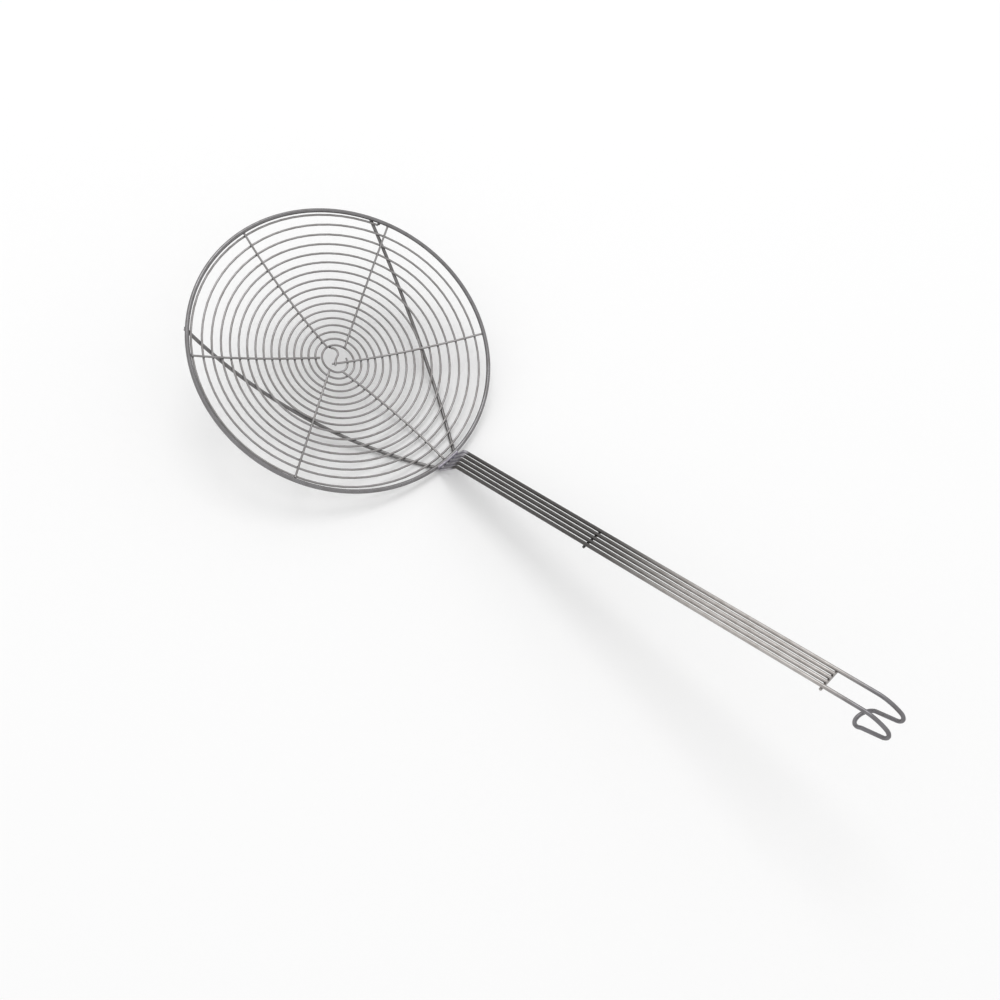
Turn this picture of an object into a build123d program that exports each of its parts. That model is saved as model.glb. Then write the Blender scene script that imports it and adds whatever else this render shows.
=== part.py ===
"""Spider skimmer: a wire strainer bowl on a long handle of parallel wires.

Every piece is steel wire, laid on the next one and welded to it. The basket is drawn in
the plane of its hoop and turned once, by the plane named basket, into the pose in which
the skimmer lies: on the two arms under its bowl, with the handle in the air.
"""

import math
import os

from build123d import *

os.makedirs("parts", exist_ok=True)

# Wires, in millimetres
hoop_wire = 3.5
handle_wire = 3.0
coil_wire = 1.8
spoke_wire = 1.8
tie_wire = 2.2
weld_gap = 0.05          # what a weld fills between two crossing wires
heavy_sides = 8          # sides of a thick wire's section
light_sides = 4          # sides of a thin wire's section

# Hoop and bowl
hoop_diameter = 254.0    # over the wire
bowl_depth = 29.0        # from the hoop's plane down to the hub
rest_tilt = 20.4         # degrees that the hoop leans towards the handle at rest
rest_roll = -1.4         # degrees that it leans sideways, because its arms are off the middle

# Coil, from the weld on the hoop inward to the hub
coil_start_angle = 125.0
coil_turns = 16.85
coil_pitch = 7.8         # of the outermost turn
coil_pitch_loss = 0.125  # from each turn to the next
coil_shift = 1.28        # of the coil's centre off the hoop's, along Y
coil_oval = 0.54
coil_hug = 3.4           # how far the first turns keep out towards the hoop
coil_hug_turns = 2.0
way_share = 0.001        # of a turn, over which the coil's direction is taken

# Spokes and hub bar
spoke_count = 6
spoke_reach_shares = (0.084, -0.032, 0.109, 0.108, 0.103, 0.078)  # of the hoop's radius, to the inner end
inner_off_shares = (-0.018, -0.024, -0.023, -0.012, -0.025, -0.015)  # which lies off to the spoke's left
middle_off_shares = (0.056, 0.010, 0.001, 0.009, -0.019, 0.008)
outer_off_shares = (0.036, 0.034, 0.024, 0.030, 0.002, 0.024)
bar_inner_end = 5.0      # of the hub bar, past the hub
bar_outer_end = 8.5
hub_bar_angle = 118.0
spoke_clearance = 0.15

# Yoke arms, the two ends of the outer handle wire under the bowl
left_arm_angle = 128.6   # of its end on the hoop
right_arm_angle = -131.0
left_arm_spread = 80.0   # from the hoop's middle, abreast of the hub
right_arm_spread = -66.3

# Handle
handle_shift = 6.4       # of its middle off the hoop's, along Y
handle_angle = 36.7      # degrees over the hoop's plane
handle_rise = 13.3       # of the handle's line over the hoop's near side
step_reach = 10.0        # along the handle, from over the hoop to the bend of the step
step_skew = 4.0          # by which that bend comes sooner on the left edge than in the middle
step_bend = 6.0
step_angle = 77.0        # of the step's wires at the hoop
foot_clearance = 0.1
wire_pitch = 4.2
foot_pitch = 4.8
inner_count = 3
inner_end = 358.0        # along the handle
tie_inset = 0.5
tie_overhang = 0.5
tie_middle_share = 0.42  # of the inner wires' end

# Hanging hook
hook_start = 386.5       # along the handle
ease_bend = 31.0         # the wires first bend gently
ease_turn = 36.0
hook_bend = 5.6          # and then back under the handle
hook_turn = 132.0
hook_leg = 14.5
tip_bend = 6.0           # the loop that joins them hangs down
tip_turn = 20.0


def corner(wire, sides):
    """Distance from a wire's centre line to the corners of its section, of the round wire's area."""
    return wire / 2 * math.sqrt(2 * math.pi / sides / math.sin(2 * math.pi / sides))


def half(wire, sides):
    """Distance from a wire's centre line to the flats of its section."""
    return corner(wire, sides) * math.cos(math.pi / sides)


# Radii of the three layers of the bowl, about the centre of its sphere
hoop_radius = (hoop_diameter - hoop_wire) / 2
bowl_radius = (hoop_radius**2 + bowl_depth**2) / (2 * bowl_depth)
bowl_centre = bowl_radius - bowl_depth
arm_layer = bowl_radius + half(hoop_wire, heavy_sides) + corner(handle_wire, heavy_sides) + weld_gap
coil_layer = arm_layer - corner(handle_wire, heavy_sides) - half(coil_wire, light_sides) - weld_gap
spoke_layer = coil_layer - half(coil_wire, light_sides) - half(spoke_wire, light_sides) - weld_gap


def polar(radius, degrees):
    """Plan coordinates of a point in the hoop's plane."""
    return radius * math.cos(math.radians(degrees)), radius * math.sin(math.radians(degrees))


def on_bowl(x, y, layer):
    """Point of a layer's sphere over plan coordinates in the hoop's plane."""
    return Vector(x, y, bowl_centre - math.sqrt(layer**2 - x**2 - y**2))


# Down, in the hoop's coordinates, as the skimmer lies
tilt = math.radians(rest_tilt)
roll = math.radians(rest_roll)
down = Vector(math.sin(tilt) * math.cos(roll), -math.sin(roll), -math.cos(tilt) * math.cos(roll))
sphere_centre = Vector(0, 0, bowl_centre)
arm_plan_radius = arm_layer * hoop_radius / bowl_radius
edge_share = (inner_count + 1) / 2
edge_pitch = wire_pitch * edge_share
foot_edge = foot_pitch * edge_share


class ArmArc:
    """Arc of a yoke arm: three points on its layer's sphere, so the whole arc lies on that sphere."""

    def __init__(self, end_angle, spread, foot_y):
        self.end = on_bowl(*polar(arm_plan_radius, end_angle), arm_layer)
        self.middle = on_bowl(0, spread, arm_layer)
        self.foot = on_bowl(math.sqrt(arm_plan_radius**2 - foot_y**2), foot_y, arm_layer)
        self.normal = (self.middle - self.end).cross(self.foot - self.end).normalized()
        self.offset = (self.end - sphere_centre).dot(self.normal)

    def foot_way(self):
        """Direction of the arm where it comes to the hoop."""
        centre = sphere_centre + self.normal * self.offset
        way = (self.foot - centre).cross(self.normal).normalized()
        return way if way.X > 0 else way * -1

    def depth(self):
        """How far the arm's lowest point lies under the centre of the sphere."""
        down_in_arc = down - self.normal * down.dot(self.normal)
        arc_radius = math.sqrt(arm_layer**2 - self.offset**2)
        return self.offset * down.dot(self.normal) + arc_radius * down_in_arc.length


left_arm = ArmArc(left_arm_angle, left_arm_spread, handle_shift + foot_edge)
right_arm = ArmArc(right_arm_angle, right_arm_spread, handle_shift - foot_edge)
rest_height = max(left_arm.depth(), right_arm.depth()) + handle_wire / 2
rest_height -= bowl_centre * math.cos(tilt) * math.cos(roll)

# Handle frame in the hoop's coordinates: along it, and up off its line
along_way = Vector(math.cos(math.radians(handle_angle)), 0, math.sin(math.radians(handle_angle)))
up_way = Vector(-along_way.Z, 0, along_way.X)
handle_origin = Vector(hoop_radius, handle_shift, handle_rise)


def on_handle(along, y, up):
    """Point of the handle, from its middle wire's line, in the hoop's coordinates."""
    return handle_origin + along_way * along + Vector(0, y, 0) + up_way * up


def bent(along, up, heading, radius, turn):
    """Where a wire of the hook comes to, and heads, after a turn in degrees. Upward turns are negative."""
    after = heading + math.radians(turn)
    side = math.copysign(radius, turn)
    along += side * (math.sin(after) - math.sin(heading))
    up += side * (math.cos(after) - math.cos(heading))
    return along, up, after


# Stations of the hook: distance along the handle, height off its line, heading below it
ease_station = (hook_start, 0, 0)
hook_station = bent(*ease_station, ease_bend, ease_turn)
leg_station = bent(*hook_station, hook_bend, hook_turn)
tip_station = (
    leg_station[0] + hook_leg * math.cos(leg_station[2]),
    leg_station[1] - hook_leg * math.sin(leg_station[2]),
    leg_station[2],
)
loop_station = bent(*tip_station, tip_bend, -tip_turn)

# The part's origin lies under the middle of its length and width
hook_centre = on_handle(
    hook_station[0] - hook_bend * math.sin(hook_station[2]),
    0,
    hook_station[1] - hook_bend * math.cos(hook_station[2]),
)
front_reach = hook_centre.X * math.cos(tilt) + hook_centre.Z * math.sin(tilt)
front_reach += hook_bend + handle_wire / 2
back_reach = hoop_radius * math.cos(tilt) + hoop_wire / 2
basket = Plane(
    origin=((back_reach - front_reach) / 2, 0, rest_height),
    x_dir=(math.cos(tilt), math.sin(tilt) * math.sin(roll), -math.sin(tilt) * math.cos(roll)),
    z_dir=(math.sin(tilt), -math.cos(tilt) * math.sin(roll), math.cos(tilt) * math.cos(roll)),
)


def placed(point):
    """The same point in the part's own coordinates."""
    return basket.from_local_coords(point)


def turned(way):
    """The same direction in the part's own coordinates."""
    return placed(way) - placed(Vector(0, 0, 0))


def section_plane(start, way, facing):
    """Plane square to a wire at its start, with one flat of the section turned to facing."""
    return Plane(origin=placed(start), x_dir=turned(facing), z_dir=turned(way))


def wire_section(diameter, sides):
    """Section of a wire, with a flat across its first axis."""
    RegularPolygon(corner(diameter, sides), sides, rotation=180 / sides)


def add_line(start, end):
    Line(placed(start), placed(end))


def add_arc(start, end, way):
    TangentArc(placed(start), placed(end), tangent=turned(way))


def add_biarc(start, start_way, end, end_way):
    """Two arcs in one curve that leaves along start_way and arrives along end_way."""
    chord = end - start
    both_ways = start_way + end_way
    turn = 2 * (1 - start_way.dot(end_way))
    lead = chord.dot(both_ways)
    reach = (math.sqrt(lead**2 + turn * chord.dot(chord)) - lead) / turn
    first = start + start_way * reach
    second = end - end_way * reach
    add_arc(start, (first + second) / 2, start_way)
    add_arc((first + second) / 2, end, second - first)


def out_of_bowl(point):
    """Direction square to the bowl at a point of it."""
    return (point - sphere_centre).normalized()


# Hoop: one ring, with flats of its section turned to the arms and to the spokes
hoop_point = Vector(hoop_radius, 0, 0)
with BuildPart() as rim_hoop:
    with BuildSketch(section_plane(hoop_point, Vector(0, 1, 0), out_of_bowl(hoop_point))):
        wire_section(hoop_wire, heavy_sides)
    revolve(axis=Axis(basket.origin, basket.z_dir))
rim_hoop.part.label = "rim_hoop"
export_step(rim_hoop.part, "parts/rim_hoop.step")

# Coil: the strainer, one wire wound inward from the hoop to the hub
coil_start_radius = hoop_radius - half(hoop_wire, heavy_sides)
coil_start_radius -= half(coil_wire, light_sides) + weld_gap


def coil_radius(turns):
    """Distance of the coil from the hoop's centre after so many turns."""
    angle = math.radians(coil_start_angle + 360 * turns)
    radius = coil_start_radius - coil_pitch * turns + coil_pitch_loss * turns**2 / 2
    oval = coil_oval * (2 * turns / coil_turns - 1) * math.cos(2 * angle)
    radius += min(turns, 1) * (coil_shift * math.sin(angle) + oval)
    radius += coil_hug * math.sin(math.pi * turns) ** 2 * math.exp(-turns / coil_hug_turns)
    return radius


def coil_point(turns):
    """Point of the coil's centre line, on its layer of the bowl."""
    return on_bowl(*polar(coil_radius(turns), coil_start_angle + 360 * turns), coil_layer)


def coil_way(turns):
    """Direction of the coil there."""
    return (coil_point(turns + way_share) - coil_point(turns - way_share)).normalized()


quarter_turns = [quarter / 4 for quarter in range(int(coil_turns * 4) + 1)] + [coil_turns]
with BuildPart() as spiral_wire:
    with BuildLine() as coil_path:
        for turns, next_turns in zip(quarter_turns, quarter_turns[1:]):
            add_biarc(coil_point(turns), coil_way(turns), coil_point(next_turns), coil_way(next_turns))
    with BuildSketch(section_plane(coil_point(0), coil_way(0), out_of_bowl(coil_point(0)))) as coil_cut:
        wire_section(coil_wire, light_sides)
    sweep()
spiral_wire.part.label = "spiral_wire"
export_step(spiral_wire.part, "parts/spiral_wire.step")

# Least gap of the coil to itself, measured on points of its centre line
coil_line = coil_path.wires()[0]
coil_length = coil_line.length
samples = int(coil_turns * 48)
coil_points = [tuple(coil_line.position_at(index / samples)) for index in range(samples + 1)]
apart = int(6 * coil_wire / coil_length * samples) + 1
least = min(
    math.dist(coil_points[index], point)
    for index in range(samples + 1)
    for point in coil_points[index + apart:]
)
coil_ratio = spiral_wire.part.volume / (coil_cut.sketch.area * coil_length)
print("coil length", round(coil_length, 1), "least gap", round(least - 2 * corner(coil_wire, light_sides), 2))
print("coil volume", round(coil_ratio, 4), "of section times length")

# Spokes: thin wires over the coil, from near the hub to the inner side of the hoop
spoke_end_turn = math.asin(hoop_radius / bowl_radius)
spoke_end_turn -= (half(hoop_wire, heavy_sides) + spoke_clearance) / spoke_layer
spoke_end_radius = spoke_layer * math.sin(spoke_end_turn)


def spoke_point(reach, off, degrees):
    """Point of a spoke, so far along its direction and so far off to its left."""
    along_x, along_y = polar(reach, degrees)
    off_x, off_y = polar(off, degrees + 90)
    return on_bowl(along_x + off_x, along_y + off_y, spoke_layer)


spoke_table = zip(spoke_reach_shares, inner_off_shares, middle_off_shares, outer_off_shares)
for number, (reach_share, inner_share, middle_share, outer_share) in enumerate(spoke_table):
    angle = 360 / spoke_count * number
    inner_reach = hoop_radius * reach_share
    outer_off = hoop_radius * outer_share
    outer_reach = math.sqrt(spoke_end_radius**2 - outer_off**2)
    spoke_start = spoke_point(inner_reach, hoop_radius * inner_share, angle)
    spoke_middle = spoke_point((inner_reach + outer_reach) / 2, hoop_radius * middle_share, angle)
    spoke_end = spoke_point(outer_reach, outer_off, angle)
    with BuildPart() as spoke:
        with BuildLine() as spoke_path:
            ThreePointArc(placed(spoke_start), placed(spoke_middle), placed(spoke_end))
        spoke_cut_plane = Plane(
            origin=spoke_path.line @ 0,
            x_dir=turned(out_of_bowl(spoke_start)),
            z_dir=spoke_path.line % 0,
        )
        with BuildSketch(spoke_cut_plane):
            wire_section(spoke_wire, light_sides)
        sweep()
    spoke.part.label = f"spoke_{number + 1}"
    export_step(spoke.part, f"parts/{spoke.part.label}.step")

# Hub bar: a short wire over the hub, which ties down the coil's inner end
bar_layer = spoke_layer - 2 * half(spoke_wire, light_sides) - weld_gap
bar_start = on_bowl(*polar(bar_outer_end, hub_bar_angle), bar_layer)
bar_end = on_bowl(*polar(-bar_inner_end, hub_bar_angle), bar_layer)
with BuildPart() as hub_bar:
    with BuildLine() as bar_path:
        ThreePointArc(placed(bar_start), placed(on_bowl(0, 0, bar_layer)), placed(bar_end))
    bar_cut_plane = Plane(
        origin=bar_path.line @ 0,
        x_dir=turned(out_of_bowl(bar_start)),
        z_dir=bar_path.line % 0,
    )
    with BuildSketch(bar_cut_plane):
        wire_section(spoke_wire, light_sides)
    sweep()
hub_bar.part.label = "hub_bar"
export_step(hub_bar.part, "parts/hub_bar.step")


def step_foot(y, wrap):
    """Foot of a wire of the step, at a distance from the hoop's centre line, on its outer side."""
    radius = hoop_radius + wrap * math.sin(math.radians(step_angle))
    foot_y = handle_shift + y
    return Vector(math.sqrt(radius**2 - foot_y**2), foot_y, -wrap * math.cos(math.radians(step_angle)))


def step_knee(y):
    """Corner of the step in a wire, before it is rounded."""
    return on_handle(step_reach - step_skew * y / edge_pitch, y, 0)


def add_step(foot, y):
    """Wire up the step and round its bend. Returns the start of the straight handle."""
    knee = step_knee(y)
    rise_way = (knee - foot).normalized()
    setback = step_bend * math.tan(math.radians(rise_way.get_angle(along_way)) / 2)
    add_line(foot, knee - rise_way * setback)
    add_arc(knee - rise_way * setback, knee + along_way * setback, rise_way)
    return knee + along_way * setback


def hook_spot(station, y):
    """Point of the hook in one of its two wires."""
    return on_handle(station[0], y, station[1])


def hook_way(station):
    """Direction of the hook's wires there, away from the handle."""
    return along_way * math.cos(station[2]) - up_way * math.sin(station[2])


# Outer handle wire: both arms under the bowl, the edges of the handle and the hook, in one
outer_wrap = corner(hoop_wire, heavy_sides) + corner(handle_wire, heavy_sides) + foot_clearance
loop_end = on_handle(loop_station[0], 0, loop_station[1]) + hook_way(loop_station) * edge_pitch
with BuildPart() as handle_outer_wire:
    with BuildLine() as outer_path:
        for arm, side in ((left_arm, 1), (right_arm, -1)):
            y = side * edge_pitch
            foot = step_foot(side * foot_edge, outer_wrap)
            ThreePointArc(placed(arm.end), placed(arm.middle), placed(arm.foot))
            add_biarc(arm.foot, arm.foot_way(), foot, (step_knee(y) - foot).normalized())
            add_line(add_step(foot, y), hook_spot(ease_station, y))
            add_arc(hook_spot(ease_station, y), hook_spot(hook_station, y), hook_way(ease_station))
            add_arc(hook_spot(hook_station, y), hook_spot(leg_station, y), hook_way(hook_station))
            add_line(hook_spot(leg_station, y), hook_spot(tip_station, y))
            add_arc(hook_spot(tip_station, y), hook_spot(loop_station, y), hook_way(tip_station))
            add_arc(hook_spot(loop_station, y), loop_end, hook_way(loop_station))
    outer_line = outer_path.wires()[0]
    first_arm = left_arm if (outer_line @ 0 - placed(left_arm.end)).length < handle_wire else right_arm
    outer_cut_plane = Plane(
        origin=outer_line @ 0,
        x_dir=turned(out_of_bowl(first_arm.end)),
        z_dir=outer_line % 0,
    )
    with BuildSketch(outer_cut_plane) as outer_cut:
        wire_section(handle_wire, heavy_sides)
    sweep(path=outer_line)
handle_outer_wire.part.label = "handle_outer_wire"
export_step(handle_outer_wire.part, "parts/handle_outer_wire.step")
outer_ratio = handle_outer_wire.part.volume / (outer_cut.sketch.area * outer_line.length)
print("outer wire length", round(outer_line.length, 1), "volume ratio", round(outer_ratio, 4))

# Inner handle wires: from the hoop's outer side up the step and along the handle
inner_wrap = corner(hoop_wire, heavy_sides) + half(handle_wire, heavy_sides) + weld_gap
for number in range(inner_count):
    place = number - (inner_count - 1) / 2
    inner_foot = step_foot(place * foot_pitch, inner_wrap)
    inner_way = (step_knee(place * wire_pitch) - inner_foot).normalized()
    with BuildPart() as inner_wire:
        with BuildLine() as inner_path:
            add_line(add_step(inner_foot, place * wire_pitch), on_handle(inner_end, place * wire_pitch, 0))
        with BuildSketch(section_plane(inner_foot, inner_way, Vector(0, 1, 0).cross(inner_way))):
            wire_section(handle_wire, heavy_sides)
        sweep(path=inner_path.wires()[0])
    inner_wire.part.label = f"handle_inner_wire_{number + 1}"
    export_step(inner_wire.part, f"parts/{inner_wire.part.label}.step")

# Ties: short wires across the underside of the handle
tie_drop = corner(handle_wire, heavy_sides) + tie_wire / 2 + weld_gap
tie_length = 2 * edge_pitch + handle_wire + 2 * tie_overhang
tie_places = {
    "tie_middle": inner_end * tie_middle_share,
    "tie_hook_end": inner_end - tie_inset - tie_wire / 2,
}
for name, along in tie_places.items():
    tie_start = on_handle(along, -tie_length / 2, -tie_drop)
    with BuildPart() as tie:
        with BuildSketch(section_plane(tie_start, Vector(0, 1, 0), up_way)):
            wire_section(tie_wire, heavy_sides)
        extrude(amount=tie_length)
    tie.part.label = name
    export_step(tie.part, f"parts/{name}.step")
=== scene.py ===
"""Spider skimmer, dressed: round drawn wires, their welds and their finish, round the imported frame."""

import math

import bpy
from bpy.props import FloatProperty, FloatVectorProperty, IntProperty, PointerProperty
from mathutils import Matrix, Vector, kdtree


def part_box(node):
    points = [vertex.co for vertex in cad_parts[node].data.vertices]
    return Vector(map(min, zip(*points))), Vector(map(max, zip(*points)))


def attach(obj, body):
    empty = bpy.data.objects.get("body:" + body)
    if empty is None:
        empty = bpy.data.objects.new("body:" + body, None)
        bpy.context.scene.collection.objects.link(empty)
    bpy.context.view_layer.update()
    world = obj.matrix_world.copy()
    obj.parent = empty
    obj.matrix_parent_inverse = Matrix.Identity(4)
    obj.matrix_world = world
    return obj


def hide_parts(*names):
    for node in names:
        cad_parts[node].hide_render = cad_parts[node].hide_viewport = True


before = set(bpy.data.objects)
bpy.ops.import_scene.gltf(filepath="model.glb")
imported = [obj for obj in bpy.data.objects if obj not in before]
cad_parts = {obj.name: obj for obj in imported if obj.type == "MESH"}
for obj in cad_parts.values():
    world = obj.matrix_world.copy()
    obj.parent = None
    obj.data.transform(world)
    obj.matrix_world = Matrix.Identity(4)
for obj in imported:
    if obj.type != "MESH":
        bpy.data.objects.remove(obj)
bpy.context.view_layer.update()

bl_info = {
    "name": "Spider skimmer",
    "version": (1, 0, 0),
    "blender": (4, 5, 0),
    "location": "3D View > Sidebar > Skimmer",
    "description": "Models a wire skimmer: coil, spokes, hoop, handle and welds",
    "category": "Add Mesh",
}

BODY = "root"

INNER_WIRES = 3

# Sides of the frame's heavy and light wires, which have a round wire's area
HEAVY = 8
LIGHT = 4

# Gaps in metres: between wires, at a spoke's end on the hoop, and at the outer wire's foot on it
WELD_GAP = 0.00005
SPOKE_END_GAP = 0.00015
OUTER_FOOT_GAP = 0.0001

# Steps in each turn, arc or bend of the wires' lines
HOOP_STEPS = 288
COIL_STEPS = 72
SPOKE_STEPS = 24
BAR_STEPS = 4
ARM_STEPS = 48
FOOT_STEPS = 8
KNEE_STEPS = 8
EASE_STEPS = 14
HOOK_STEPS = 24
TIP_STEPS = 5
LOOP_STEPS = 24
SEAM_STEPS = 24

# Each spoke, in shares of the hoop's radius: how far out its inner end lies, and how far its inner end,
# its middle and its outer end lie off to its left
SPOKE_SHARES = (
    (0.084, -0.018, 0.056, 0.036),
    (-0.032, -0.024, 0.010, 0.034),
    (0.109, -0.023, 0.001, 0.024),
    (0.108, -0.012, 0.009, 0.030),
    (0.103, -0.025, -0.019, 0.002),
    (0.078, -0.015, 0.008, 0.024),
)
SPOKES = len(SPOKE_SHARES)

# The hub bar in the hoop's plane, in metres: from the innermost ring, hooked, to past the hub. It leaves
# the ring at the spokes' height, and from the spot of this number on it lies over them
BAR_SPOTS = (
    (-0.0112, 0.0036),
    (-0.0088, 0.0056),
    (-0.0057, 0.0059),
    (-0.0030, 0.0045),
    (-0.0016, 0.0021),
    (-0.0005, 0.0001),
    (0.0012, -0.0019),
    (0.0038, -0.0042),
)
BAR_UP_AT = 4
BAR_SPOKE = 1

# Shares of the straight run at which the outer and the inner handle wires have points
OUTER_RUN = (0.1, 0.3, 0.5, 0.7, 0.9, 1.0)
INNER_RUN = (0.15, 0.4, 0.6, 0.8, 0.97, 1.0)

# A wire's eased end: its length in wire diameters, and at each of its points the share of that length
# and of the wire's thickness
END_LENGTH = 0.14
END_POINTS = ((0.0, 0.72), (0.4, 0.92), (1.0, 1.0))
MERGE_WITHIN = 0.00001
SMOOTH_BELOW = math.radians(50)

# Each finish: its tint's property, tarnish, roughness, scale of its patches, height of its relief in metres
FINISHES = {
    "hoop_steel": ("hoop_tint", 0.5, 0.27, 140.0, 0.00002),
    "basket_steel": ("basket_tint", 0.5, 0.3, 140.0, 0.00002),
    # The handle's tint is its painted lighter reflection by the hook, which the painted reflection along the
    # handle replaces
    "handle_steel": ("handle_far_light_reflection", 0.45, 0.3, 140.0, 0.00002),
    "weld_steel": ("weld_tint", 0.7, 0.45, 600.0, 0.00008),
    "seam_steel": ("seam_tint", 0.6, 0.4, 500.0, 0.00008),
}

# Where the handle's tints of painted reflection change, in metres: before the hoop's side, where the step's
# painted bright reflection starts, round the knee of the step, and along the handle where the painted dark
# reflection ends and where the hook's painted darker reflection begins
STEP_FADE = 0.004
KNEE_FADE = (0.003, 0.002)
DARK_REFLECTION_FADE = (0.15, 0.275)
HOOK_FADE = (0.345, 0.39)

# The welds, in metres: how close two wires cross, how finely their lines are searched, and where a bead
# at a wire's end lies, in shares of the way to the hoop's middle line
SPOKE_NEAR = 0.0024
ARM_NEAR = 0.0034
FINE_STEP = 0.0006
BAR_FINE_STEP = 0.0002
HOOP_FINE_STEPS = 1440
END_BEAD = (0.3, 0.6)

# The seam: its length past the outermost feet in wire diameters, its place off the hoop's middle line, both
# out and up, and the size and pace of its unevenness
SEAM_OVERHANG = 1.3
SEAM_OFF = 0.0012
SEAM_WAVE = 0.0002
SEAM_PACE = 1.9

# The stage: lengths in metres, the lamp's power in watts, and the room's strength as a light and as seen
FLOOR_SIZE = 60
FLOOR_ROUGHNESS = 0.85
LAMP_PLACE = (-1.8, 1.5, 4.5)
LAMP_SIZE = 2.7
LAMP_POWER = 54
ROOM_LIGHT = 0.83
ROOM_SEEN = 1.0

# The camera: place in metres, turns in degrees, and its lens and film in millimetres
CAMERA_PLACE = (0.32056, -0.43913, 0.86369)
CAMERA_TURNS = (33.1256, -4.2245, 44.0514)
CAMERA_LENS = 46.05
CAMERA_FILM = 36
CAMERA_NEAR = 0.01


def hoop_middle():
    """Middle of the hoop, from its node's corners."""
    low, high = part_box("rim_hoop")
    return (Vector(low) + Vector(high)) / 2


def length(label, about, default):
    """Property for a length in metres."""
    return FloatProperty(name=label, description=about, default=default, unit="LENGTH", precision=5)


def angle(label, about, degrees):
    """Property for an angle, given in degrees."""
    return FloatProperty(name=label, description=about, default=math.radians(degrees), subtype="ANGLE")


def number(label, about, default):
    """Property for a plain number."""
    return FloatProperty(name=label, description=about, default=default)


def tint(label, about, default):
    """Property for a colour."""
    return FloatVectorProperty(
        name=label, description=about, default=default, subtype="COLOR", min=0, max=1
    )


class SkimmerBowlSizes(bpy.types.PropertyGroup):
    """Sizes of the hoop, the coil and the spokes."""

    hoop_wire: length("Hoop wire", "Diameter of the hoop's wire", 0.0035)
    coil_wire: length("Coil wire", "Diameter of the coil's wire", 0.0018)
    spoke_wire: length("Spoke wire", "Diameter of the spokes' wire", 0.0018)
    hoop_diameter: length("Hoop", "Diameter over the hoop's wire", 0.254)
    depth: length("Depth", "From the hoop's plane down to the hub", 0.029)
    tilt: angle("Tilt", "Lean of the hoop towards the handle", 20.4)
    roll: angle("Roll", "Sideways lean of the hoop", -1.4)
    coil_start: angle("Coil start", "Direction of the coil's outer end", 125)
    coil_turns: number("Coil turns", "Turns from the hoop to the hub", 16.85)
    coil_pitch: length("Coil pitch", "Pitch of the outermost turn", 0.0078)
    coil_pitch_loss: length("Pitch loss", "By which each turn's pitch is less than the last", 0.000125)
    coil_shift: length("Coil shift", "Of the coil's centre off the hoop's", 0.00128)
    coil_oval: length("Coil oval", "How far the coil is out of round", 0.00054)
    coil_hug: length("Coil hug", "How far the first turns keep out towards the hoop", 0.0034)
    coil_hug_turns: number("Hug turns", "Turns over which that dies away", 2.0)
    bar_size: number("Hub bar size", "Scale of the hooked bar in the hub", 1.0)


class SkimmerHandleSizes(bpy.types.PropertyGroup):
    """Sizes of the yoke arms, the handle, its ties and its hook."""

    wire: length("Handle wire", "Diameter of the handle's wires", 0.003)
    tie_wire: length("Tie wire", "Diameter of the ties", 0.0022)
    tie_place: number("Middle tie", "Its place as a share of the inner wires' length", 0.42)
    tie_overhang: length("Tie overhang", "Past the edge wires, and from the end tie to the ends", 0.0005)
    left_end: angle("Left arm end", "Direction of the left arm's end on the hoop", 128.6)
    right_end: angle("Right arm end", "Direction of the right arm's end on the hoop", -131)
    left_spread: length("Left arm spread", "From the middle, abreast of the hub", 0.08)
    right_spread: length("Right arm spread", "From the middle, abreast of the hub", -0.0663)
    shift: length("Handle shift", "Of its middle off the hoop's", 0.0064)
    rise: length("Handle rise", "Of its line over the hoop's near side", 0.0133)
    slope: angle("Handle angle", "Over the hoop's plane", 36.7)
    pitch: length("Wire pitch", "Between neighbouring wires", 0.0042)
    foot_pitch: length("Foot pitch", "Between their feet on the hoop", 0.0048)
    step_reach: length("Step reach", "Along the handle to the bend of the step", 0.01)
    step_skew: length("Step skew", "By which the bend comes sooner on the left", 0.004)
    step_bend: length("Step bend", "Radius of that bend", 0.006)
    step_angle: angle("Step angle", "Slope of the step's wires at the hoop", 77)
    inner_end: length("Inner wires' end", "Along the handle", 0.358)
    hook_start: length("Hook start", "Along the handle", 0.3865)
    ease_bend: length("Gentle bend", "Radius of the hook's first bend", 0.031)
    ease_turn: angle("Gentle turn", "Of the hook's first bend", 36)
    hook_bend: length("Hook bend", "Radius of the hook's tight bend", 0.0056)
    hook_turn: angle("Hook turn", "Of the tight bend", 132)
    hook_leg: length("Hook leg", "Straight run back under the handle", 0.0145)
    tip_bend: length("Tip bend", "Radius of the last bend", 0.006)
    tip_turn: angle("Tip turn", "By which the closing loop hangs down", 20)


class SkimmerWeldSizes(bpy.types.PropertyGroup):
    """Half widths and half heights of the weld beads, and the thickness of the seam."""

    spoke_bead: length("Spoke beads", "Half of a bead's width where spoke and coil cross", 0.00125)
    spoke_bead_rise: length("Spoke beads' height", "Half of it", 0.00105)
    arm_bead: length("Arm beads", "Half of a bead's width where arm and coil cross", 0.00145)
    arm_bead_rise: length("Arm beads' height", "Half of it", 0.0011)
    hoop_bead: length("Hoop beads", "Half of a bead's width at a wire's end on the hoop", 0.00145)
    hoop_bead_rise: length("Hoop beads' height", "Half of it", 0.0014)
    seam: length("Seam", "Thickness of the weld along the handle's foot", 0.0026)


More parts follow.
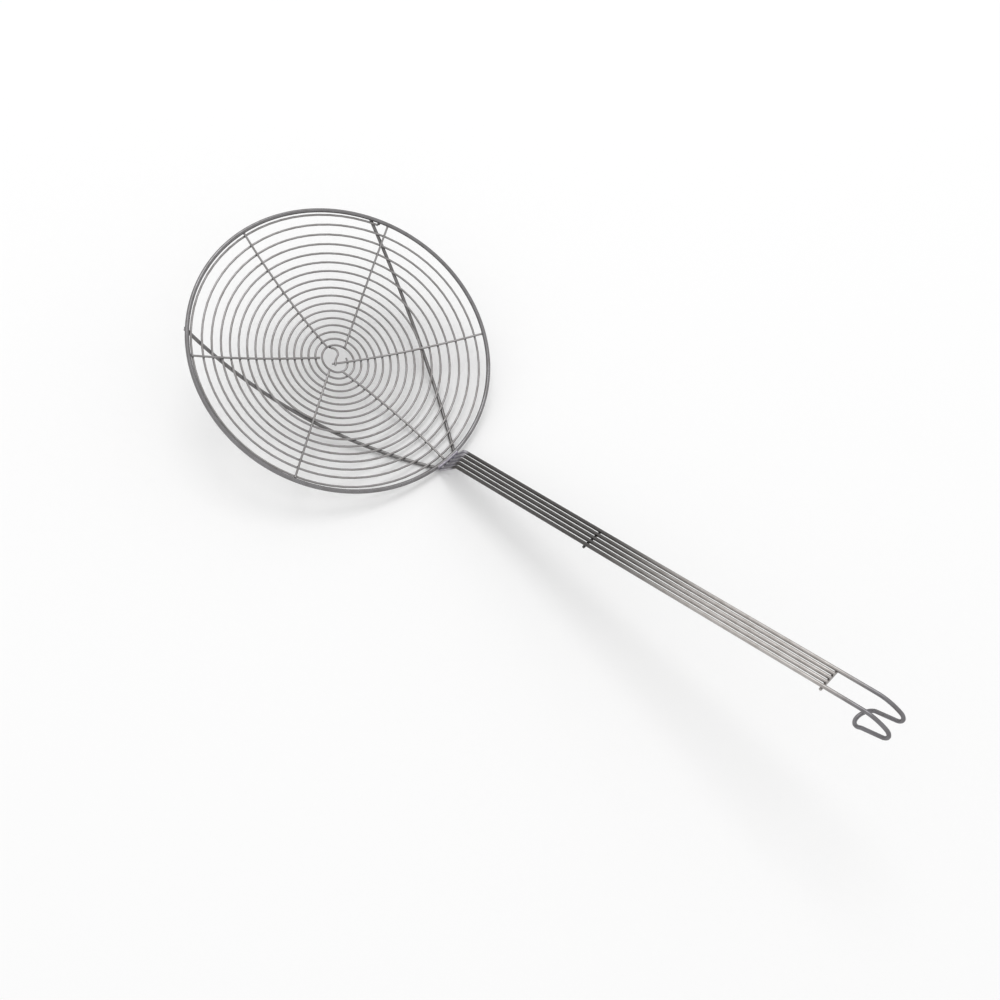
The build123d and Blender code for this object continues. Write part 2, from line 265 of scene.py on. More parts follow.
class SkimmerFinish(bpy.types.PropertyGroup):
    """Colours of the wires, among them the painted reflections along the handle, and the roundness of their
    sections.
    """

    hoop_tint: tint("Hoop", "Colour of the hoop's wire", (0.215, 0.21, 0.215))
    basket_tint: tint("Basket", "Colour of the coil and spokes", (0.31, 0.30, 0.30))
    arm_tint: tint("Arms", "Colour of the arms under the bowl", (0.19, 0.185, 0.185))
    # The step's tint is a painted bright reflection
    step_bright_reflection: tint("Step", "Painted bright reflection on the step between hoop and handle", (0.50, 0.49, 0.53))
    seam_tint: tint("Seam", "Colour of the weld along the handle's foot", (0.38, 0.365, 0.41))
    # Painted reflection along the handle: dark by the bowl, lighter by the hook, and darker again on the hook
    handle_near_dark_reflection: tint("Handle by the bowl", "Painted dark reflection by the bowl", (0.10, 0.096, 0.094))
    handle_far_light_reflection: tint("Handle by the hook", "Painted lighter reflection by the hook", (0.43, 0.41, 0.395))
    hook_dark_reflection: tint("Hook", "Colour of the hook", (0.20, 0.195, 0.205))
    weld_tint: tint("Welds", "Colour of the weld beads", (0.145, 0.14, 0.145))
    floor_tint: tint("Floor", "Colour of the floor", (0.98, 0.98, 0.98))
    sides: IntProperty(
        name="Roundness", description="Bevel resolution of the wires", default=3, min=1, max=8
    )


def bowl():
    return bpy.context.scene.skimmer_bowl


def handle():
    return bpy.context.scene.skimmer_handle


def weld():
    return bpy.context.scene.skimmer_weld


def finish():
    return bpy.context.scene.skimmer_finish


def corner_reach(wire, sides):
    """From the middle of the frame's many-sided wire to its corners."""
    return wire / 2 * math.sqrt(2 * math.pi / sides / math.sin(2 * math.pi / sides))


def half_flat(wire, sides):
    """From the middle of the frame's many-sided wire to its flats."""
    return corner_reach(wire, sides) * math.cos(math.pi / sides)


def hoop_radius():
    """Radius of the hoop's middle line."""
    return (bowl().hoop_diameter - bowl().hoop_wire) / 2


def bowl_radius():
    """Radius of the sphere through the hoop's middle line and the bowl's depth."""
    depth = bowl().depth
    return (hoop_radius() ** 2 + depth**2) / (2 * depth)


def layers():
    """Radii of the arms', the coil's, the spokes' and the hub bar's layers of the bowl."""
    arm_reach = corner_reach(handle().wire, HEAVY)
    coil_half = half_flat(bowl().coil_wire, LIGHT)
    spoke_half = half_flat(bowl().spoke_wire, LIGHT)
    arm = bowl_radius() + half_flat(bowl().hoop_wire, HEAVY) + arm_reach + WELD_GAP
    coil = arm - arm_reach - coil_half - WELD_GAP
    spoke = coil - coil_half - spoke_half - WELD_GAP
    return arm, coil, spoke, spoke - 2 * spoke_half - WELD_GAP


def placed(point):
    """A point of the hoop's coordinates, in the frame's."""
    tilt, roll = bowl().tilt, bowl().roll
    x_way = Vector((math.cos(tilt), math.sin(tilt) * math.sin(roll), -math.sin(tilt) * math.cos(roll)))
    z_way = Vector((math.sin(tilt), -math.cos(tilt) * math.sin(roll), math.cos(tilt) * math.cos(roll)))
    y_way = z_way.cross(x_way)
    return hoop_middle() + x_way * point.x + y_way * point.y + z_way * point.z


def polar(radius, turn):
    """Plan coordinates of a radius and a direction."""
    return radius * math.cos(turn), radius * math.sin(turn)


def on_bowl(x, y, layer):
    """Point of a layer's sphere over plan coordinates in the hoop's plane."""
    centre = bowl_radius() - bowl().depth
    return Vector((x, y, centre - math.sqrt(layer**2 - x**2 - y**2)))


def circle_offset(across, up):
    """From the first of three points to the centre of their circle."""
    normal = across.cross(up)
    reach = normal.cross(across) * up.dot(up) + up.cross(normal) * across.dot(across)
    return reach / (2 * normal.length_squared)


def arc_points(start, middle, end, count):
    """Points of the circular arc through three points."""
    across, up = middle - start, end - start
    normal = across.cross(up).normalized()
    centre = start + circle_offset(across, up)
    first = start - centre
    side = normal.cross(first)
    turn = math.atan2((end - centre).dot(side), (end - centre).dot(first))
    turn = turn if turn > 0 else turn + 2 * math.pi
    points = []
    for step in range(count + 1):
        part = turn * step / count
        points.append(centre + first * math.cos(part) + side * math.sin(part))
    return points


def ease_points(start, start_way, end, end_way, count):
    """Points inside a smooth curve that leaves along one direction and arrives along another."""
    reach = (end - start).length
    points = []
    for step in range(1, count):
        t = step / count
        points.append(
            start * (2 * t**3 - 3 * t**2 + 1)
            + start_way * (reach * (t**3 - 2 * t**2 + t))
            + end * (3 * t**2 - 2 * t**3)
            + end_way * (reach * (t**3 - t**2))
        )
    return points


def bend_points(start, start_way, end, end_way, count):
    """Points inside a circular bend between two straight runs."""
    chord = end - start
    turn = start_way.angle(end_way)
    radius = chord.length / 2 / math.sin(turn / 2)
    chord_way = chord.normalized()
    inward = (chord_way - start_way * chord_way.dot(start_way)).normalized()
    points = []
    for step in range(1, count):
        part = turn * step / count
        points.append(
            start + start_way * (radius * math.sin(part)) + inward * (radius * (1 - math.cos(part)))
        )
    return points


def rounded(points, count):
    """A smooth line through the points, with so many steps from one to the next."""
    padded = [points[0] * 2 - points[1], *points, points[-1] * 2 - points[-2]]
    line = []
    for before, start, end, after in zip(padded, padded[1:], padded[2:], padded[3:]):
        for step in range(count):
            t = step / count
            bend = start * 2 + (end - before) * t
            bend += (before * 2 - start * 5 + end * 4 - after) * t**2
            line.append((bend + (start * 3 - before - end * 3 + after) * t**3) / 2)
    return line + [points[-1]]


def filled_in(points, step):
    """The same line with points close together."""
    line = []
    for start, end in zip(points, points[1:]):
        count = max(1, int((end - start).length / step))
        line += [start.lerp(end, index / count) for index in range(count)]
    return line + [points[-1]]


def hoop_line(count):
    """The hoop's middle line."""
    return [Vector((*polar(hoop_radius(), 2 * math.pi * step / count), 0)) for step in range(count)]


def coil_radius(turns):
    """How far out the coil lies after so many turns from its outer end."""
    b = bowl()
    turn = b.coil_start + 2 * math.pi * turns
    radius = hoop_radius() - half_flat(b.hoop_wire, HEAVY) - half_flat(b.coil_wire, LIGHT) - WELD_GAP
    radius += -b.coil_pitch * turns + b.coil_pitch_loss * turns**2 / 2
    oval = b.coil_oval * (2 * turns / b.coil_turns - 1) * math.cos(2 * turn)
    radius += min(turns, 1) * (b.coil_shift * math.sin(turn) + oval)
    return radius + b.coil_hug * math.sin(math.pi * turns) ** 2 * math.exp(-turns / b.coil_hug_turns)


def coil_line():
    """The coil from the hoop to the hub."""
    layer = layers()[1]
    last = int(bowl().coil_turns * COIL_STEPS)
    turns = [step / COIL_STEPS for step in range(last + 1)] + [bowl().coil_turns]
    return [on_bowl(*polar(coil_radius(t), bowl().coil_start + 2 * math.pi * t), layer) for t in turns]


def spoke_line(place):
    """A spoke from the hub to the hoop, by its place in the round."""
    layer = layers()[2]
    turn = 2 * math.pi / SPOKES * place
    reach_share, inner_share, middle_share, outer_share = SPOKE_SHARES[place]
    end_turn = math.asin(hoop_radius() / bowl_radius())
    end_turn -= (half_flat(bowl().hoop_wire, HEAVY) + SPOKE_END_GAP) / layer
    outer_off = hoop_radius() * outer_share
    outer = math.sqrt((layer * math.sin(end_turn)) ** 2 - outer_off**2)
    inner = hoop_radius() * reach_share

    def spot(reach, off):
        x, y = polar(reach, turn)
        off_x, off_y = polar(off, turn + math.pi / 2)
        return on_bowl(x + off_x, y + off_y, layer)

    start = spot(inner, hoop_radius() * inner_share)
    middle = spot((inner + outer) / 2, hoop_radius() * middle_share)
    return arc_points(start, middle, spot(outer, outer_off), SPOKE_STEPS)


def bar_line():
    """The hooked bar: it leaves the innermost ring at the spokes' height and rises over the second spoke."""
    spoke_layer, bar_layer = layers()[2:]
    size = bowl().bar_size
    spots = []
    for place, (x, y) in enumerate(BAR_SPOTS):
        rise = min(place / BAR_UP_AT, 1)
        spots.append(on_bowl(x * size, y * size, spoke_layer + (bar_layer - spoke_layer) * rise))
    return rounded(spots, BAR_STEPS)


def along_way():
    """Direction of the handle."""
    return Vector((math.cos(handle().slope), 0, math.sin(handle().slope)))


def on_handle(along, y, up):
    """Point along the handle, across it and off it."""
    h = handle()
    way = along_way()
    origin = Vector((hoop_radius(), h.shift, h.rise))
    return origin + way * along + Vector((0, y, 0)) + Vector((-way.z, 0, way.x)) * up


def edge_pitch():
    """From the middle wire of the handle to its edge wires."""
    return 2 * handle().pitch


def step_foot(y, wrap):
    """Foot of a handle wire on the hoop's outer side, so far from the hoop's middle line."""
    h = handle()
    radius = hoop_radius() + wrap * math.sin(h.step_angle)
    foot_y = h.shift + y
    return Vector((math.sqrt(radius**2 - foot_y**2), foot_y, -wrap * math.cos(h.step_angle)))


def step_points(foot, y):
    """From a wire's foot round the bend of the step to the straight handle, and the direction at the foot."""
    h = handle()
    knee = on_handle(h.step_reach - h.step_skew * y / edge_pitch(), y, 0)
    rise = (knee - foot).normalized()
    setback = h.step_bend * math.tan(rise.angle(along_way()) / 2)
    before, after = knee - rise * setback, knee + along_way() * setback
    bend = bend_points(before, rise, after, along_way(), KNEE_STEPS)
    return rise, [foot, foot.lerp(before, 0.5), before] + bend + [after]


def hook_profile():
    """Points of the hook along and off the handle's line, and its last heading."""
    h = handle()
    spots = []
    along, up, heading = h.hook_start, 0.0, 0.0

    def bend(radius, turn, count):
        nonlocal along, up, heading
        side = math.copysign(radius, turn)
        for step in range(1, count + 1):
            after = heading + turn * step / count
            spots.append((
                along + side * (math.sin(after) - math.sin(heading)),
                up + side * (math.cos(after) - math.cos(heading)),
            ))
        along, up = spots[-1]
        heading += turn

    bend(h.ease_bend, h.ease_turn, EASE_STEPS)
    bend(h.hook_bend, h.hook_turn, HOOK_STEPS)
    along += h.hook_leg * math.cos(heading)
    up -= h.hook_leg * math.sin(heading)
    spots.append((along, up))
    bend(h.tip_bend, -h.tip_turn, TIP_STEPS)
    return spots, heading


def closing_loop(along, up, heading):
    """The half round at the hook's end, from one edge wire to the other."""
    points = []
    for step in range(1, LOOP_STEPS):
        turn = math.pi * step / LOOP_STEPS
        reach = edge_pitch() * math.sin(turn)
        across = edge_pitch() * math.cos(turn)
        points.append(
            on_handle(along + reach * math.cos(heading), across, up - reach * math.sin(heading))
        )
    return points


def arm_line(end_turn, spread, foot_y):
    """A yoke arm on its layer of the bowl, and its direction where it meets the hoop."""
    layer = layers()[0]
    plan = layer * hoop_radius() / bowl_radius()
    end = on_bowl(*polar(plan, end_turn), layer)
    foot = on_bowl(math.sqrt(plan**2 - foot_y**2), foot_y, layer)
    points = arc_points(end, on_bowl(0, spread, layer), foot, ARM_STEPS)
    across, up = points[ARM_STEPS // 2] - end, foot - end
    centre = end + circle_offset(across, up)
    way = across.cross(up).cross(foot - centre).normalized()
    return points, way


def arm_lines():
    """The left and the right arm, each with its direction at the hoop."""
    h = handle()
    foot_edge = 2 * h.foot_pitch
    left = arm_line(h.left_end, h.left_spread, h.shift + foot_edge)
    right = arm_line(h.right_end, h.right_spread, h.shift - foot_edge)
    return left, right


def outer_line():
    """The outer handle wire from end to end: arm, step, edge, hook, and back."""
    h = handle()
    wrap = corner_reach(bowl().hoop_wire, HEAVY) + corner_reach(h.wire, HEAVY) + OUTER_FOOT_GAP
    spots, heading = hook_profile()
    halves = []
    for (arm, way), side in zip(arm_lines(), (1, -1)):
        y = side * edge_pitch()
        foot = step_foot(side * 2 * h.foot_pitch, wrap)
        rise, step = step_points(foot, y)
        points = arm + ease_points(arm[-1], way, foot, rise, FOOT_STEPS) + step
        points += [on_handle(h.hook_start * share, y, 0) for share in OUTER_RUN]
        points += [on_handle(along, y, up) for along, up in spots]
        halves.append(points)
    return halves[0] + closing_loop(*spots[-1], heading) + halves[1][::-1]


def inner_line(place):
    """An inner handle wire from its foot on the hoop to its end before the hook."""
    h = handle()
    off = place - (INNER_WIRES - 1) / 2
    wrap = corner_reach(bowl().hoop_wire, HEAVY) + half_flat(h.wire, HEAVY) + WELD_GAP
    foot = step_foot(off * h.foot_pitch, wrap)
    y = off * h.pitch
    step = step_points(foot, y)[1]
    return step + [on_handle(h.inner_end * share, y, 0) for share in INNER_RUN]


def tie_line(along):
    """A tie across the underside of the handle's wires."""
    h = handle()
    drop = corner_reach(h.wire, HEAVY) + h.tie_wire / 2 + WELD_GAP
    reach = edge_pitch() + h.wire / 2 + h.tie_overhang
    return [on_handle(along, y, -drop) for y in (-reach, -reach / 2, 0, reach / 2, reach)]


def seam_line():
    """The uneven line of weld on the hoop, along the feet of the handle's wires."""
    h = handle()
    span = 4 * h.foot_pitch + h.wire * SEAM_OVERHANG
    radius = hoop_radius() + SEAM_OFF
    points = []
    for step in range(SEAM_STEPS + 1):
        y = h.shift + (step / SEAM_STEPS - 0.5) * span
        height = SEAM_OFF + SEAM_WAVE * math.sin(step * SEAM_PACE)
        points.append(Vector((math.sqrt(radius**2 - y**2), y, height)))
    return points


def nothing_selected():
    """Leaves edit mode and deselects everything."""
    if bpy.context.object and bpy.context.object.mode != "OBJECT":
        bpy.ops.object.mode_set(mode="OBJECT")
    bpy.ops.object.select_all(action="DESELECT")


def eased(line, wire):
    """The line with the points of its eased ends, and the share of the wire's thickness at each point."""
    nib = wire * END_LENGTH
    tips = []
    for end, inside in ((line[0], line[1]), (line[-1], line[-2])):
        way = (inside - end).normalized()
        tips.append([end + way * nib * share for share, thick in END_POINTS])
    thicks = [thick for share, thick in END_POINTS]
    between = line[1:-1]
    points = tips[0] + between + tips[1][::-1]
    return points, thicks + [1.0] * len(between) + thicks[::-1]


def drawn_wire(name, points, wire, cyclic=False):
    """A round wire along a line of the hoop's coordinates, as a mesh with its place in it."""
    nothing_selected()
    bpy.ops.curve.primitive_nurbs_path_add(location=(0, 0, 0))
    piece = bpy.context.object
    curve = piece.data
    curve.dimensions = "3D"
    curve.twist_mode = "MINIMUM"
    curve.splines.clear()
    spline = curve.splines.new("POLY")
    line = [placed(point) for point in points]
    thicks = [1.0] * len(line)
    if not cyclic:
        line, thicks = eased(line, wire)
    spline.points.add(len(line) - 1)
    for spot, place, thick in zip(spline.points, line, thicks):
        spot.co = (*place, 1)
        spot.radius = thick
    spline.use_cyclic_u = cyclic
    curve.bevel_depth = wire / 2
    curve.bevel_resolution = finish().sides
    curve.use_fill_caps = not cyclic
    bpy.ops.object.convert(target="MESH")
    piece = bpy.context.object
    if not piece.data.uv_layers:
        raise RuntimeError(f"{name} came out without its surface coordinates")
    bpy.ops.object.mode_set(mode="EDIT")
    bpy.ops.mesh.select_all(action="SELECT")
    bpy.ops.mesh.remove_doubles(threshold=MERGE_WITHIN)
    bpy.ops.mesh.normals_make_consistent(inside=False)
    bpy.ops.object.mode_set(mode="OBJECT")
    bpy.ops.object.shade_smooth_by_angle(angle=SMOOTH_BELOW)
    piece.name = name
    piece.data.name = name
    return piece


def dress(piece, nodes, finish_name):
    """Gives a piece its finish and body, and hides the nodes that it stands for."""
    piece.data.materials.clear()
    piece.data.materials.append(steel_material(finish_name))
    if nodes:
        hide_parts(*nodes)
    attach(piece, BODY)


def search_tree(points):
    """Tree that finds the nearest of the points."""
    tree = kdtree.KDTree(len(points))
    for index, point in enumerate(points):
        tree.insert(point, index)
    tree.balance()
    return tree


def crossings(line, other, near):
    """Places where one line passes over another, each with the other's nearest point."""
    tree = search_tree(other)
    gaps = [tree.find(point) for point in line]
    found = []
    for index in range(1, len(line) - 1):
        gap = gaps[index][2]
        if gap < near and gap <= gaps[index - 1][2] and gap < gaps[index + 1][2]:
            found.append((line[index], gaps[index][0]))
    return found


def spoke_spots(coil):
    """Where the spokes cross the coil, and where the hub bar meets its spoke and the innermost ring."""
    spots = []
    for place in range(SPOKES):
        spots += crossings(filled_in(spoke_line(place), FINE_STEP), coil, SPOKE_NEAR)
    bar = filled_in(bar_line(), BAR_FINE_STEP)
    spots += crossings(bar, filled_in(spoke_line(BAR_SPOKE), BAR_FINE_STEP), SPOKE_NEAR)
    spots.append((bar[0], min(coil, key=lambda point: (point - bar[0]).length)))
    return spots


def arm_spots(coil):
    """Where the arms pass under the coil."""
    spots = []
    for arm, way in arm_lines():
        spots += crossings(filled_in(arm, FINE_STEP), coil, ARM_NEAR)
    return spots


def hoop_spots():
    """Where the ends of the spokes, the coil and the arms meet the hoop."""
    tree = search_tree(hoop_line(HOOP_FINE_STEPS))
    ends = [spoke_line(place)[-1] for place in range(SPOKES)] + [coil_line()[0]]
    ends += [arm[0] for arm, way in arm_lines()]
    spots = []
    for point in ends:
        near = tree.find(point)[0]
        spots.append([point.lerp(near, share) for share in END_BEAD])
    return spots


def weld_beads(name, spots, half_width, half_height):
    """Small flattened beads of weld, one at each place, as one piece."""
    if not spots:
        raise RuntimeError(f"no crossings were found for {name}")
    nothing_selected()
    beads = []
    for point, other in spots:
        middle = placed((point + other) / 2)
        way = placed(point) - placed(other)
        bpy.ops.mesh.primitive_uv_sphere_add(
            segments=8,
            ring_count=6,
            radius=1,
            location=middle,
            rotation=way.to_track_quat("Z", "Y").to_euler(),
            scale=(half_width, half_width, half_height),
        )
        beads.append(bpy.context.object)
    for bead in beads:
        bead.select_set(True)
    bpy.context.view_layer.objects.active = beads[0]
    bpy.ops.object.join()
    piece = bpy.context.object
    bpy.ops.object.transform_apply(location=True, rotation=True, scale=True)
    bpy.ops.object.shade_smooth()
    piece.name = name
    piece.data.name = name
    return piece


def new_node(nodes, kind, inputs, **settings):
    """A node with its settings, and then the values of its inputs, by name or place."""
    node = nodes.new(kind)
    for label, value in settings.items():
        setattr(node, label, value)
    for label, value in inputs.items():
        node.inputs[label].default_value = value
    return node


def drawn_steel_group():
    """Node group: colour, roughness and height of drawn, plated wire with tarnish and die lines."""
    if "drawn_steel" in bpy.data.node_groups:
        return bpy.data.node_groups["drawn_steel"]
    group = bpy.data.node_groups.new("drawn_steel", "ShaderNodeTree")
    for label, kind, default in (
        ("Tint", "NodeSocketColor", (0.3, 0.3, 0.3, 1)),
        ("Tarnish", "NodeSocketFloat", 0.4),
        ("Patch scale", "NodeSocketFloat", 140.0),
        ("Roughness", "NodeSocketFloat", 0.3),
    ):
        socket = group.interface.new_socket(name=label, in_out="INPUT", socket_type=kind)
        socket.default_value = default
    for label, kind in (
        ("Color", "NodeSocketColor"),
        ("Roughness", "NodeSocketFloat"),
        ("Height", "NodeSocketFloat"),
    ):
        group.interface.new_socket(name=label, in_out="OUTPUT", socket_type=kind)
    nodes, links = group.nodes, group.links
    inside, outside = nodes.new("NodeGroupInput"), nodes.new("NodeGroupOutput")
    where = nodes.new("ShaderNodeTexCoord")

    # Tarnish in patches, which darkens and dulls the metal
    patch = new_node(nodes, "ShaderNodeTexNoise", {"Detail": 5, "Roughness": 0.62})
    links.new(where.outputs["Object"], patch.inputs["Vector"])
    links.new(inside.outputs["Patch scale"], patch.inputs["Scale"])
    spots = new_node(nodes, "ShaderNodeMapRange", {"From Min": 0.42, "From Max": 0.68})
    links.new(patch.outputs["Fac"], spots.inputs["Value"])
    amount = new_node(nodes, "ShaderNodeMath", {}, operation="MULTIPLY")
    links.new(spots.outputs["Result"], amount.inputs[0])
    links.new(inside.outputs["Tarnish"], amount.inputs[1])
    stain = {"B": (0.60, 0.565, 0.53, 1)}
    dark = new_node(nodes, "ShaderNodeMix", stain, data_type="RGBA", blend_type="MULTIPLY")
    links.new(amount.outputs["Value"], dark.inputs["Factor"])
    links.new(inside.outputs["Tint"], dark.inputs["A"])
    rough = new_node(nodes, "ShaderNodeMath", {1: 0.22}, operation="MULTIPLY_ADD")
    links.new(amount.outputs["Value"], rough.inputs[0])
    links.new(inside.outputs["Roughness"], rough.inputs[2])
    links.new(rough.outputs["Value"], outside.inputs["Roughness"])

    # The die's fine lines along the wire, lighter and darker
    stretch = new_node(nodes, "ShaderNodeMapping", {"Scale": (3.0, 46.0, 1.0)})
    links.new(where.outputs["UV"], stretch.inputs["Vector"])
    die_lines = new_node(nodes, "ShaderNodeTexNoise", {"Scale": 1.0, "Detail": 4})
    links.new(stretch.outputs["Vector"], die_lines.inputs["Vector"])
    fleck_range = {"From Min": 0.35, "From Max": 0.65, "To Min": 0.88, "To Max": 1.12}
    fleck = new_node(nodes, "ShaderNodeMapRange", fleck_range)
    links.new(die_lines.outputs["Fac"], fleck.inputs["Value"])
    shade = new_node(nodes, "ShaderNodeMix", {}, data_type="RGBA", blend_type="MULTIPLY")
    shade.inputs["Factor"].default_value = 1.0
    links.new(dark.outputs["Result"], shade.inputs["A"])
    links.new(fleck.outputs["Result"], shade.inputs["B"])
    links.new(shade.outputs["Result"], outside.inputs["Color"])

    # Relief: the die's lines, and grain
    grain = new_node(nodes, "ShaderNodeTexNoise", {"Scale": 1900, "Detail": 3})
    links.new(where.outputs["Object"], grain.inputs["Vector"])
    height = new_node(nodes, "ShaderNodeMath", {}, operation="ADD")
    links.new(grain.outputs["Fac"], height.inputs[0])
    links.new(die_lines.outputs["Fac"], height.inputs[1])
    links.new(height.outputs["Value"], outside.inputs["Height"])
    return group


def steel_material(name):
    """Plated drawn steel in one of the finishes, made the first time that it is asked for."""
    if name in bpy.data.materials:
        return bpy.data.materials[name]
    tint_name, tarnish, roughness, patch_scale, relief_height = FINISHES[name]
    material = bpy.data.materials.new(name)
    material.use_nodes = True
    nodes, links = material.node_tree.nodes, material.node_tree.links
    shader = nodes["Principled BSDF"]
    shader.inputs["Metallic"].default_value = 1.0
    surface = {
        "Tint": (*getattr(finish(), tint_name), 1),
        "Tarnish": tarnish,
        "Roughness": roughness,
        "Patch scale": patch_scale,
    }
    steel = new_node(nodes, "ShaderNodeGroup", surface, node_tree=drawn_steel_group())
    relief = new_node(nodes, "ShaderNodeBump", {"Strength": 0.6, "Distance": relief_height})
    links.new(steel.outputs["Color"], shader.inputs["Base Color"])
    links.new(steel.outputs["Roughness"], shader.inputs["Roughness"])
    links.new(steel.outputs["Height"], relief.inputs["Height"])
    links.new(relief.outputs["Normal"], shader.inputs["Normal"])
    # The handle gets its painted reflection along its length
    if name == "handle_steel":
        tint_handle_with_painted_reflection(nodes, links, steel)
    return material


def handle_zones():
    """Tints of painted reflection one after another along the handle, each with the x at which it starts and
    is full.
    """
    hoop_side = placed(Vector((hoop_radius(), 0, 0))).x
    knee = placed(on_handle(handle().step_reach, 0, 0)).x
    dark_reflection_x = [placed(on_handle(along, 0, 0)).x for along in DARK_REFLECTION_FADE]
    hook_x = [placed(on_handle(along, 0, 0)).x for along in HOOK_FADE]
    return (
        (finish().step_bright_reflection, hoop_side - STEP_FADE, hoop_side),
        (finish().handle_near_dark_reflection, knee - KNEE_FADE[0], knee + KNEE_FADE[1]),
        (finish().handle_far_light_reflection, *dark_reflection_x),
        (finish().hook_dark_reflection, *hook_x),
    )


def tint_handle_with_painted_reflection(nodes, links, steel):
    """Painted reflection along the handle: arms, then a painted bright reflection at the step, painted dark
    reflection beyond it, painted lighter reflection further on, and the hook's painted darker reflection.
    """
    where = nodes.new("ShaderNodeTexCoord")
    split = nodes.new("ShaderNodeSeparateXYZ")
    links.new(where.outputs["Object"], split.inputs["Vector"])
    below = None
    for colour, start, end in handle_zones():
        reach = {"From Min": start, "From Max": end}
        share = new_node(nodes, "ShaderNodeMapRange", reach, interpolation_type="SMOOTHSTEP")
        links.new(split.outputs["X"], share.inputs["Value"])
        tints = {"A": (*finish().arm_tint, 1), "B": (*colour, 1)}
        blend = new_node(nodes, "ShaderNodeMix", tints, data_type="RGBA")
        links.new(share.outputs["Result"], blend.inputs["Factor"])
        if below:
            links.new(below.outputs["Result"], blend.inputs["A"])
        below = blend
    links.new(below.outputs["Result"], steel.inputs["Tint"])


def white_room():
    """World that lights the object softly, and is white to the camera and in reflections."""
    world = bpy.data.worlds.new("white_room")
    world.use_nodes = True
    nodes, links = world.node_tree.nodes, world.node_tree.links
    path = nodes.new("ShaderNodeLightPath")
    seen = path.outputs["Is Camera Ray"]
    for label in ("Is Glossy Ray", "Is Transmission Ray"):
        either = new_node(nodes, "ShaderNodeMath", {}, operation="MAXIMUM")
        links.new(seen, either.inputs[0])
        links.new(path.outputs[label], either.inputs[1])
        seen = either.outputs["Value"]
    level = new_node(nodes, "ShaderNodeMapRange", {"To Min": ROOM_LIGHT, "To Max": ROOM_SEEN})
    links.new(seen, level.inputs["Value"])
    air = nodes["Background"]
    air.inputs["Color"].default_value = (1, 1, 1, 1)
    links.new(level.outputs["Result"], air.inputs["Strength"])
    return world


def pale_floor():
    """Plain dull material of the floor."""
    material = bpy.data.materials.new("pale_floor")
    material.use_nodes = True
    shader = material.node_tree.nodes["Principled BSDF"]
    shader.inputs["Base Color"].default_value = (*finish().floor_tint, 1)
    shader.inputs["Roughness"].default_value = FLOOR_ROUGHNESS
    shader.inputs["Specular IOR Level"].default_value = 0.0
    return material


class SKIMMER_OT_stage(bpy.types.Operator):
    """Sets the floor, the soft light, the white surroundings and the camera"""

    bl_idname = "skimmer.stage"
    bl_label = "Stage"

    def execute(self, context):
        scene = context.scene
        nothing_selected()
        bpy.ops.mesh.primitive_plane_add(size=FLOOR_SIZE, location=(0, 0, 0))
        floor = bpy.context.object
        floor.name = "floor"
        floor.data.materials.append(pale_floor())
        scene.world = white_room()
        bpy.ops.object.light_add(type="AREA", location=LAMP_PLACE)
        lamp = bpy.context.object
        lamp.data.shape = "DISK"
        lamp.data.size = LAMP_SIZE
        lamp.data.energy = LAMP_POWER
        aim = Vector((0, 0, 0)) - lamp.location
        lamp.rotation_euler = aim.to_track_quat("-Z", "Y").to_euler()
        turns = [math.radians(turn) for turn in CAMERA_TURNS]
        bpy.ops.object.camera_add(location=CAMERA_PLACE, rotation=turns)
        camera = bpy.context.object
        camera.data.sensor_width = CAMERA_FILM
        camera.data.lens = CAMERA_LENS
        camera.data.clip_start = CAMERA_NEAR
        scene.camera = camera
        scene.view_settings.view_transform = "Standard"
        return {"FINISHED"}


class SKIMMER_OT_hoop(bpy.types.Operator):
    """Models the hoop"""

    bl_idname = "skimmer.hoop"
    bl_label = "Hoop"

    def execute(self, context):
        piece = drawn_wire("rim_hoop_wire", hoop_line(HOOP_STEPS), bowl().hoop_wire, cyclic=True)
        dress(piece, ["rim_hoop"], "hoop_steel")
        return {"FINISHED"}


class SKIMMER_OT_coil(bpy.types.Operator):
    """Winds the coil from the hoop to the hub"""

    bl_idname = "skimmer.coil"
    bl_label = "Coil"

    def execute(self, context):
        piece = drawn_wire("coil_wire", coil_line(), bowl().coil_wire)
        dress(piece, ["spiral_wire"], "basket_steel")
        return {"FINISHED"}


class SKIMMER_OT_spokes(bpy.types.Operator):
    """Lays the six spokes and the hub bar over the coil"""

    bl_idname = "skimmer.spokes"
    bl_label = "Spokes and hub bar"

    def execute(self, context):
        for place in range(SPOKES):
            piece = drawn_wire(f"spoke_wire_{place + 1}", spoke_line(place), bowl().spoke_wire)
            dress(piece, [f"spoke_{place + 1}"], "basket_steel")
        piece = drawn_wire("hub_bar_wire", bar_line(), bowl().spoke_wire)
        dress(piece, ["hub_bar"], "basket_steel")
        return {"FINISHED"}


class SKIMMER_OT_handle(bpy.types.Operator):
    """Bends the outer wire with its arms and hook, and lays the inner wires and the ties"""

    bl_idname = "skimmer.handle"
    bl_label = "Handle"

    def execute(self, context):
        h = handle()
        piece = drawn_wire("handle_outer", outer_line(), h.wire)
        dress(piece, ["handle_outer_wire"], "handle_steel")
        for place in range(INNER_WIRES):
            piece = drawn_wire(f"handle_inner_{place + 1}", inner_line(place), h.wire)
            dress(piece, [f"handle_inner_wire_{place + 1}"], "handle_steel")
        ties = {
            "tie_middle": h.inner_end * h.tie_place,
            "tie_hook_end": h.inner_end - h.tie_overhang - h.tie_wire / 2,
        }
        for node, along in ties.items():
            piece = drawn_wire(node + "_wire", tie_line(along), h.tie_wire)
            dress(piece, [node], "handle_steel")
        return {"FINISHED"}


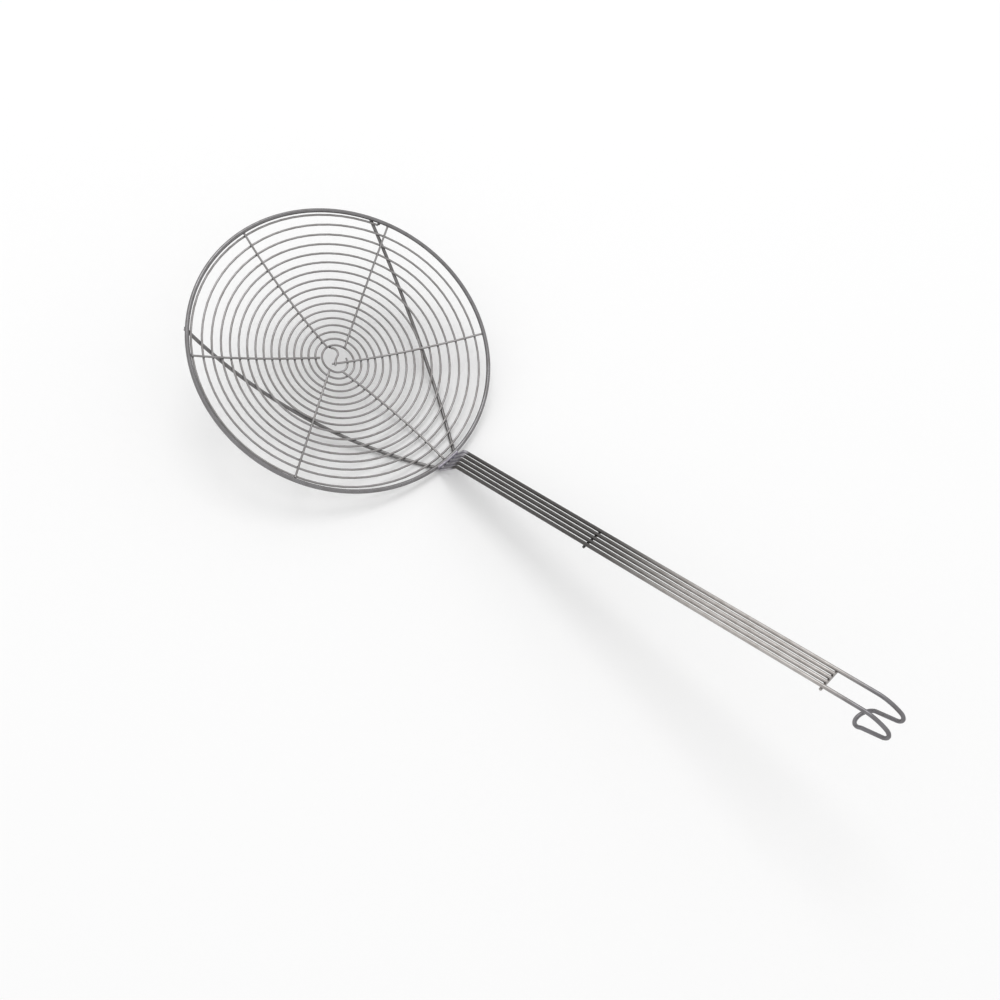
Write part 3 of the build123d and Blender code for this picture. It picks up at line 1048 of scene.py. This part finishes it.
class SKIMMER_OT_welds(bpy.types.Operator):
    """Puts weld beads at the crossings and on the hoop, and the seam of weld along the handle's foot"""

    bl_idname = "skimmer.welds"
    bl_label = "Welds"

    def execute(self, context):
        w = weld()
        coil = filled_in(coil_line(), FINE_STEP)
        piece = weld_beads("spoke_welds", spoke_spots(coil), w.spoke_bead, w.spoke_bead_rise)
        dress(piece, [], "weld_steel")
        piece = weld_beads("arm_welds", arm_spots(coil), w.arm_bead, w.arm_bead_rise)
        dress(piece, [], "weld_steel")
        piece = weld_beads("hoop_welds", hoop_spots(), w.hoop_bead, w.hoop_bead_rise)
        dress(piece, [], "weld_steel")
        piece = drawn_wire("foot_seam", seam_line(), w.seam)
        dress(piece, [], "seam_steel")
        return {"FINISHED"}


class SKIMMER_PT_sidebar(bpy.types.Panel):
    """Lists the skimmer's sizes, its finish and its pieces"""

    bl_idname = "SKIMMER_PT_sidebar"
    bl_label = "Spider skimmer"
    bl_space_type = "VIEW_3D"
    bl_region_type = "UI"
    bl_category = "Skimmer"

    def draw(self, context):
        layout = self.layout
        for group in (bowl(), handle(), weld(), finish()):
            column = layout.column(align=True)
            for label in group.__annotations__:
                column.prop(group, label)
        for operator in OPERATORS:
            layout.operator(operator.bl_idname)


GROUPS = (SkimmerBowlSizes, SkimmerHandleSizes, SkimmerWeldSizes, SkimmerFinish)
OPERATORS = (
    SKIMMER_OT_stage,
    SKIMMER_OT_hoop,
    SKIMMER_OT_coil,
    SKIMMER_OT_spokes,
    SKIMMER_OT_handle,
    SKIMMER_OT_welds,
)
CLASSES = (*GROUPS, *OPERATORS, SKIMMER_PT_sidebar)


def register():
    for item in CLASSES:
        bpy.utils.register_class(item)
    bpy.types.Scene.skimmer_bowl = PointerProperty(type=SkimmerBowlSizes)
    bpy.types.Scene.skimmer_handle = PointerProperty(type=SkimmerHandleSizes)
    bpy.types.Scene.skimmer_weld = PointerProperty(type=SkimmerWeldSizes)
    bpy.types.Scene.skimmer_finish = PointerProperty(type=SkimmerFinish)


def unregister():
    del bpy.types.Scene.skimmer_finish
    del bpy.types.Scene.skimmer_weld
    del bpy.types.Scene.skimmer_handle
    del bpy.types.Scene.skimmer_bowl
    for item in reversed(CLASSES):
        bpy.utils.unregister_class(item)


def main():
    register()
    bpy.ops.skimmer.stage()
    bpy.ops.skimmer.hoop()
    bpy.ops.skimmer.coil()
    bpy.ops.skimmer.spokes()
    bpy.ops.skimmer.handle()
    bpy.ops.skimmer.welds()
    nothing_selected()


if __name__ == "__main__":
    main()
